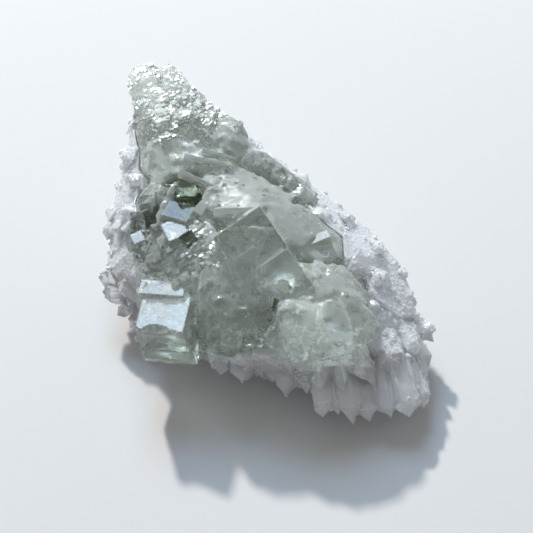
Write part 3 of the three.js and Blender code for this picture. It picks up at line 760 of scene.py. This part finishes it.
def cube_tree():
    """Small cubes that grow on every face with an `etched` value, all turned as its `lattice` value says."""
    tree, given = shape_tree("Small cubes", {
        "Spacing": ("NodeSocketFloat", 1 * MM),
        "Smallest": ("NodeSocketFloat", 0.6 * MM),
        "Largest": ("NodeSocketFloat", 1.2 * MM),
        "Sink": ("NodeSocketFloat", 0.25),
        "Stray": ("NodeSocketFloat", 0.06),
        "Seed": ("NodeSocketInt", 1),
        "Material": ("NodeSocketMaterial", None),
    })
    seats = seats_on(tree, given, "etched")
    cube = put(tree, "GeometryNodeMeshCube", {"Size": (1, 1, 1)})
    size = random_number(tree, given["Smallest"], given["Largest"], 21)
    scale = scaled(tree, random_vector(tree, SHORTEST, LONGEST, 22), size)
    depth = number(tree, "MULTIPLY", size, given["Sink"])
    inwards = scaled(tree, seats.outputs["Normal"], number(tree, "MULTIPLY", depth, -1.0))
    sunk = put(tree, "GeometryNodeSetPosition", {"Geometry": seats.outputs["Points"], "Offset": inwards})
    lattice = put(tree, "GeometryNodeInputNamedAttribute", {"Name": "lattice"}, data_type="FLOAT_VECTOR")
    stray = scaled(tree, random_vector(tree, (-1, -1, -1), (1, 1, 1), 23), given["Stray"])
    cubes = put(tree, "GeometryNodeInstanceOnPoints", {
        "Points": sunk.outputs[0], "Instance": cube.outputs["Mesh"], "Scale": scale,
        "Rotation": vector(tree, "ADD", lattice.outputs["Attribute"], stray),
    })
    join_in_tree(tree, given, cubes.outputs[0])
    return tree


def skin_tree():
    """Uneven growth: the skin moves in and out along its normals, most where it is etched."""
    tree, given = shape_tree("Uneven skin", {
        "Swell": ("NodeSocketFloat", 0.5 * MM),
        "Swell Size": ("NodeSocketFloat", 4 * MM),
        "Etch": ("NodeSocketFloat", 0.5 * MM),
        "Etch Size": ("NodeSocketFloat", 1.2 * MM),
        "Step": ("NodeSocketFloat", 0.2),
        "Step Size": ("NodeSocketFloat", 3 * MM),
        "Material": ("NodeSocketMaterial", None),
    })
    place = put(tree, "GeometryNodeInputPosition").outputs[0]

    def per(label):
        return number(tree, "DIVIDE", 1.0, given[label])

    # slow swells
    noise = put(tree, "ShaderNodeTexNoise", {"Vector": place, "Scale": per("Swell Size"), "Detail": 2.0})
    swell = number(tree, "SUBTRACT", noise.outputs[0], MIDDLE)
    swell = number(tree, "MULTIPLY", swell, given["Swell"])
    # small blocks with grooves between them, where the skin is etched
    blocks = put(tree, "ShaderNodeTexVoronoi", {"Vector": place, "Scale": per("Etch Size")},
                 distance="CHEBYCHEV")
    share = put(tree, "GeometryNodeInputNamedAttribute", {"Name": "etched"}).outputs["Attribute"]
    groove = number(tree, "SUBTRACT", blocks.outputs["Distance"], GROOVE_START)
    groove = number(tree, "MULTIPLY", number(tree, "MULTIPLY", groove, given["Etch"]), share)
    # flat faces that each lie their own way, with a step between two of them
    faces = put(tree, "ShaderNodeTexVoronoi", {"Vector": place, "Scale": per("Step Size")},
                distance="CHEBYCHEV")
    across = vector(tree, "SUBTRACT", place, faces.outputs["Position"])
    way = vector(tree, "SUBTRACT", faces.outputs["Color"], [MIDDLE] * 3)
    rise = put(tree, "ShaderNodeVectorMath", {0: across, 1: way}, operation="DOT_PRODUCT").outputs["Value"]
    out = number(tree, "MULTIPLY_ADD", rise, given["Step"], swell)
    out = number(tree, "SUBTRACT", out, groove)
    open_side = put(tree, "GeometryNodeInputNamedAttribute", {"Name": "open"}).outputs["Attribute"]
    normal = put(tree, "GeometryNodeInputNormal").outputs[0]
    moved = put(tree, "GeometryNodeSetPosition", {
        "Geometry": given["Geometry"],
        "Offset": scaled(tree, normal, number(tree, "MULTIPLY", out, open_side)),
    })
    end_tree(tree, given, moved.outputs[0])
    return tree


FLUORITE_INDEX = 1.434
fluorite_look = crystal_material("green fluorite", FLUORITE_INDEX, clear=0.76, milky=0, haze=0.18, growth={
    "Facet Size": 0.9 * MM, "Tilt": 0.2, "Broken": "broken", "Patch Size": 3.5 * MM, "Polish": 0.02,
    "Frost": 0.42, "Cloudy": "cloudy", "Pale": colour(0.975, 1, 0.955), "Deep": colour(0.17, 0.2, 0.135),
    "Depth": "deep",
}, tint=colour(0.61, 0.82, 0.60), density=9)
fluorite = copy_of("fluorite_crystals", "fluorite_mass")


def even_skin(piece, rounds):
    """Gives a piece one skin of even, small faces, and softens it."""
    remesh = piece.modifiers.new("remesh", "REMESH")
    remesh.mode = "VOXEL"
    remesh.voxel_size = SKIN_GRAIN
    soften = piece.modifiers.new("soften", "SMOOTH")
    soften.iterations = rounds
    settle(piece)


even_skin(fluorite, rounds=6)
quartz_skin = skin_of("quartz_matrix")
patch_middles = np.array([row_place(middle) for middle, *_ in ETCHED_PATCHES])
patch_reaches = np.array([reach * MM for _, reach, *_ in ETCHED_PATCHES])
patch_shares = np.array([(medium, small) for _, _, medium, small, _ in ETCHED_PATCHES])
patch_lattices = np.array([turning(turn).to_euler() for *_, turn in ETCHED_PATCHES])
PATCH_END = 1.6  # an etched patch ends this many reaches from its middle
PATCH_FADE = 0.6  # and fades over the last of these


def mark_etched(piece, cubes):
    """Says of each face how densely cubes of one size cover it, and which way they lie."""
    middles = face_middles(piece)
    far = np.linalg.norm(middles[:, None] - patch_middles, axis=2) / patch_reaches
    nearest = far.argmin(axis=1)
    fade = np.clip((PATCH_END - far.min(axis=1)) / PATCH_FADE, 0, 1)
    shown = far_from(quartz_skin, middles, CLEARANCE)
    etched = patch_shares[nearest, cubes] * fade * (1 - on_crystals(middles, LARGE_CRYSTALS + PALE_BARS))
    set_on_faces(piece, "open", shown * (1 - within(middles, WHOLE)))
    set_on_faces(piece, "etched", etched * shown)
    set_on_faces(piece, "lattice", patch_lattices[nearest])
    return etched


mark_etched(fluorite, SMALL)
run_tree(fluorite, skin_tree(), swell=0.5 * MM, swell_size=4 * MM, etch=0.7 * MM, etch_size=1.3 * MM,
         step=0.45, step_size=2.6 * MM, material=fluorite_look)
even_skin(fluorite, rounds=0)

# the large crystals grow through the mass, and then the pits and chips come out of it
join_with(fluorite, [slab(*crystal) for crystal in LARGE_CRYSTALS]
          + [slab(*bar, BAR_TAPER) for bar in PALE_BARS])
join_with(fluorite, [slab(in_turn(BLOCK, spot), sides, BLOCK[2]) for spot, sides in BLOCK_BARS])
join_with(fluorite, [slab(in_turn(BLOCK, spot), sides, BLOCK[2]) for spot, sides in BLOCK_HOLLOWS]
          + [chip(in_turn(CORNER_CUBE, spot), sides, CORNER_CUBE[2]) for spot, sides in CUBE_CHIPS]
          + [slab(*pit) for pit in PITS], "DIFFERENCE")

# two rounds of etched cubes: which ones, spacing, least and greatest size, and the seed
small_cubes = cube_tree()
for cubes, spacing, smallest, largest, seed in [
    (MEDIUM, 1.8 * MM, 1 * MM, 2.1 * MM, 5), (SMALL, 0.8 * MM, 0.35 * MM, 0.85 * MM, 6),
]:
    mark_etched(fluorite, cubes)
    run_tree(fluorite, small_cubes, spacing=spacing, smallest=smallest, largest=largest, seed=seed,
             material=fluorite_look)
drop_crumbs(fluorite)
fluorite_middles = face_middles(fluorite)
large = on_crystals(fluorite_middles, LARGE_CRYSTALS + PALE_BARS)
pale = on_crystals(fluorite_middles, PALE_BARS)
shaded_pits = on_crystals(fluorite_middles, PITS)
whole = np.maximum(within(fluorite_middles, WHOLE), large)
broken = LEAST_BROKEN + (MORE_BROKEN + mark_etched(fluorite, SMALL)) * (1 - whole)
set_on_faces(fluorite, "broken", broken)
# the share of the deep colour: deeper green and painted shade in its zones, and painted shade over all the
# walls of the pits
set_on_faces(fluorite, "deep", np.maximum(within(fluorite_middles, DEEP_GREEN_AND_SHADE), shaded_pits) * ~pale)
set_on_faces(fluorite, "cloudy", np.maximum(within(fluorite_middles, CLOUDED), BAR_CLOUD * pale))
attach(fluorite, "root")
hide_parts("fluorite_crystals")


# Floor
# Plain pale ground, matt and without a pattern, on which the stone lies on its broken underside. It runs out
# of the picture on every side.
REACH = 3  # metres to each side
GROUND = colour(0.61, 0.6, 0.59)
GROUND_ROUGHNESS = 0.9
floor_shape = bpy.data.meshes.new("floor")
corners = [(-REACH, -REACH, 0), (REACH, -REACH, 0), (REACH, REACH, 0), (-REACH, REACH, 0)]
floor_shape.from_pydata(corners, [], [(0, 1, 2, 3)])
floor = bpy.data.objects.new("floor", floor_shape)
bpy.context.scene.collection.objects.link(floor)
floor_look = bpy.data.materials.new("floor")
floor_look.use_nodes = True
floor_look.node_tree.nodes["Principled BSDF"].inputs["Base Color"].default_value = GROUND
floor_look.node_tree.nodes["Principled BSDF"].inputs["Roughness"].default_value = GROUND_ROUGHNESS
floor_shape.materials.append(floor_look)


# Light
# Soft daylight from all round, a small warm key behind the stone that shines through the crystals and throws
# the shadow to the front, and a broad bluish window above it that the flat faces mirror.
SKY = colour(0.95, 0.97, 1)
SKY_STRENGTH = 0.35


def lamp(name, way, distance, size, power, tone):
    """A round lamp, so many metres from the middle of the stone in one direction, that looks back at it."""
    light = bpy.data.lights.new(name, "AREA")
    light.shape = "DISK"
    light.size = size
    light.energy = power
    light.color = tone
    holder = bpy.data.objects.new(name, light)
    bpy.context.scene.collection.objects.link(holder)
    way = Vector(way).normalized()
    holder.location = VIEW_MIDDLE + way * distance
    holder.rotation_euler = way.to_track_quat("Z", "Y").to_euler()


lamp("key", way=(-0.287, 0.71, 0.643), distance=1.2, size=0.08, power=15, tone=(1, 0.96, 0.9))
lamp("window", way=(-0.14, 0.6, 0.79), distance=1.0, size=0.5, power=6, tone=(0.52, 0.74, 1))
world = bpy.data.worlds.new("world")
world.use_nodes = True
world.node_tree.nodes["Background"].inputs["Color"].default_value = SKY
world.node_tree.nodes["Background"].inputs["Strength"].default_value = SKY_STRENGTH
bpy.context.scene.world = world
bpy.context.scene.view_settings.view_transform = "Standard"
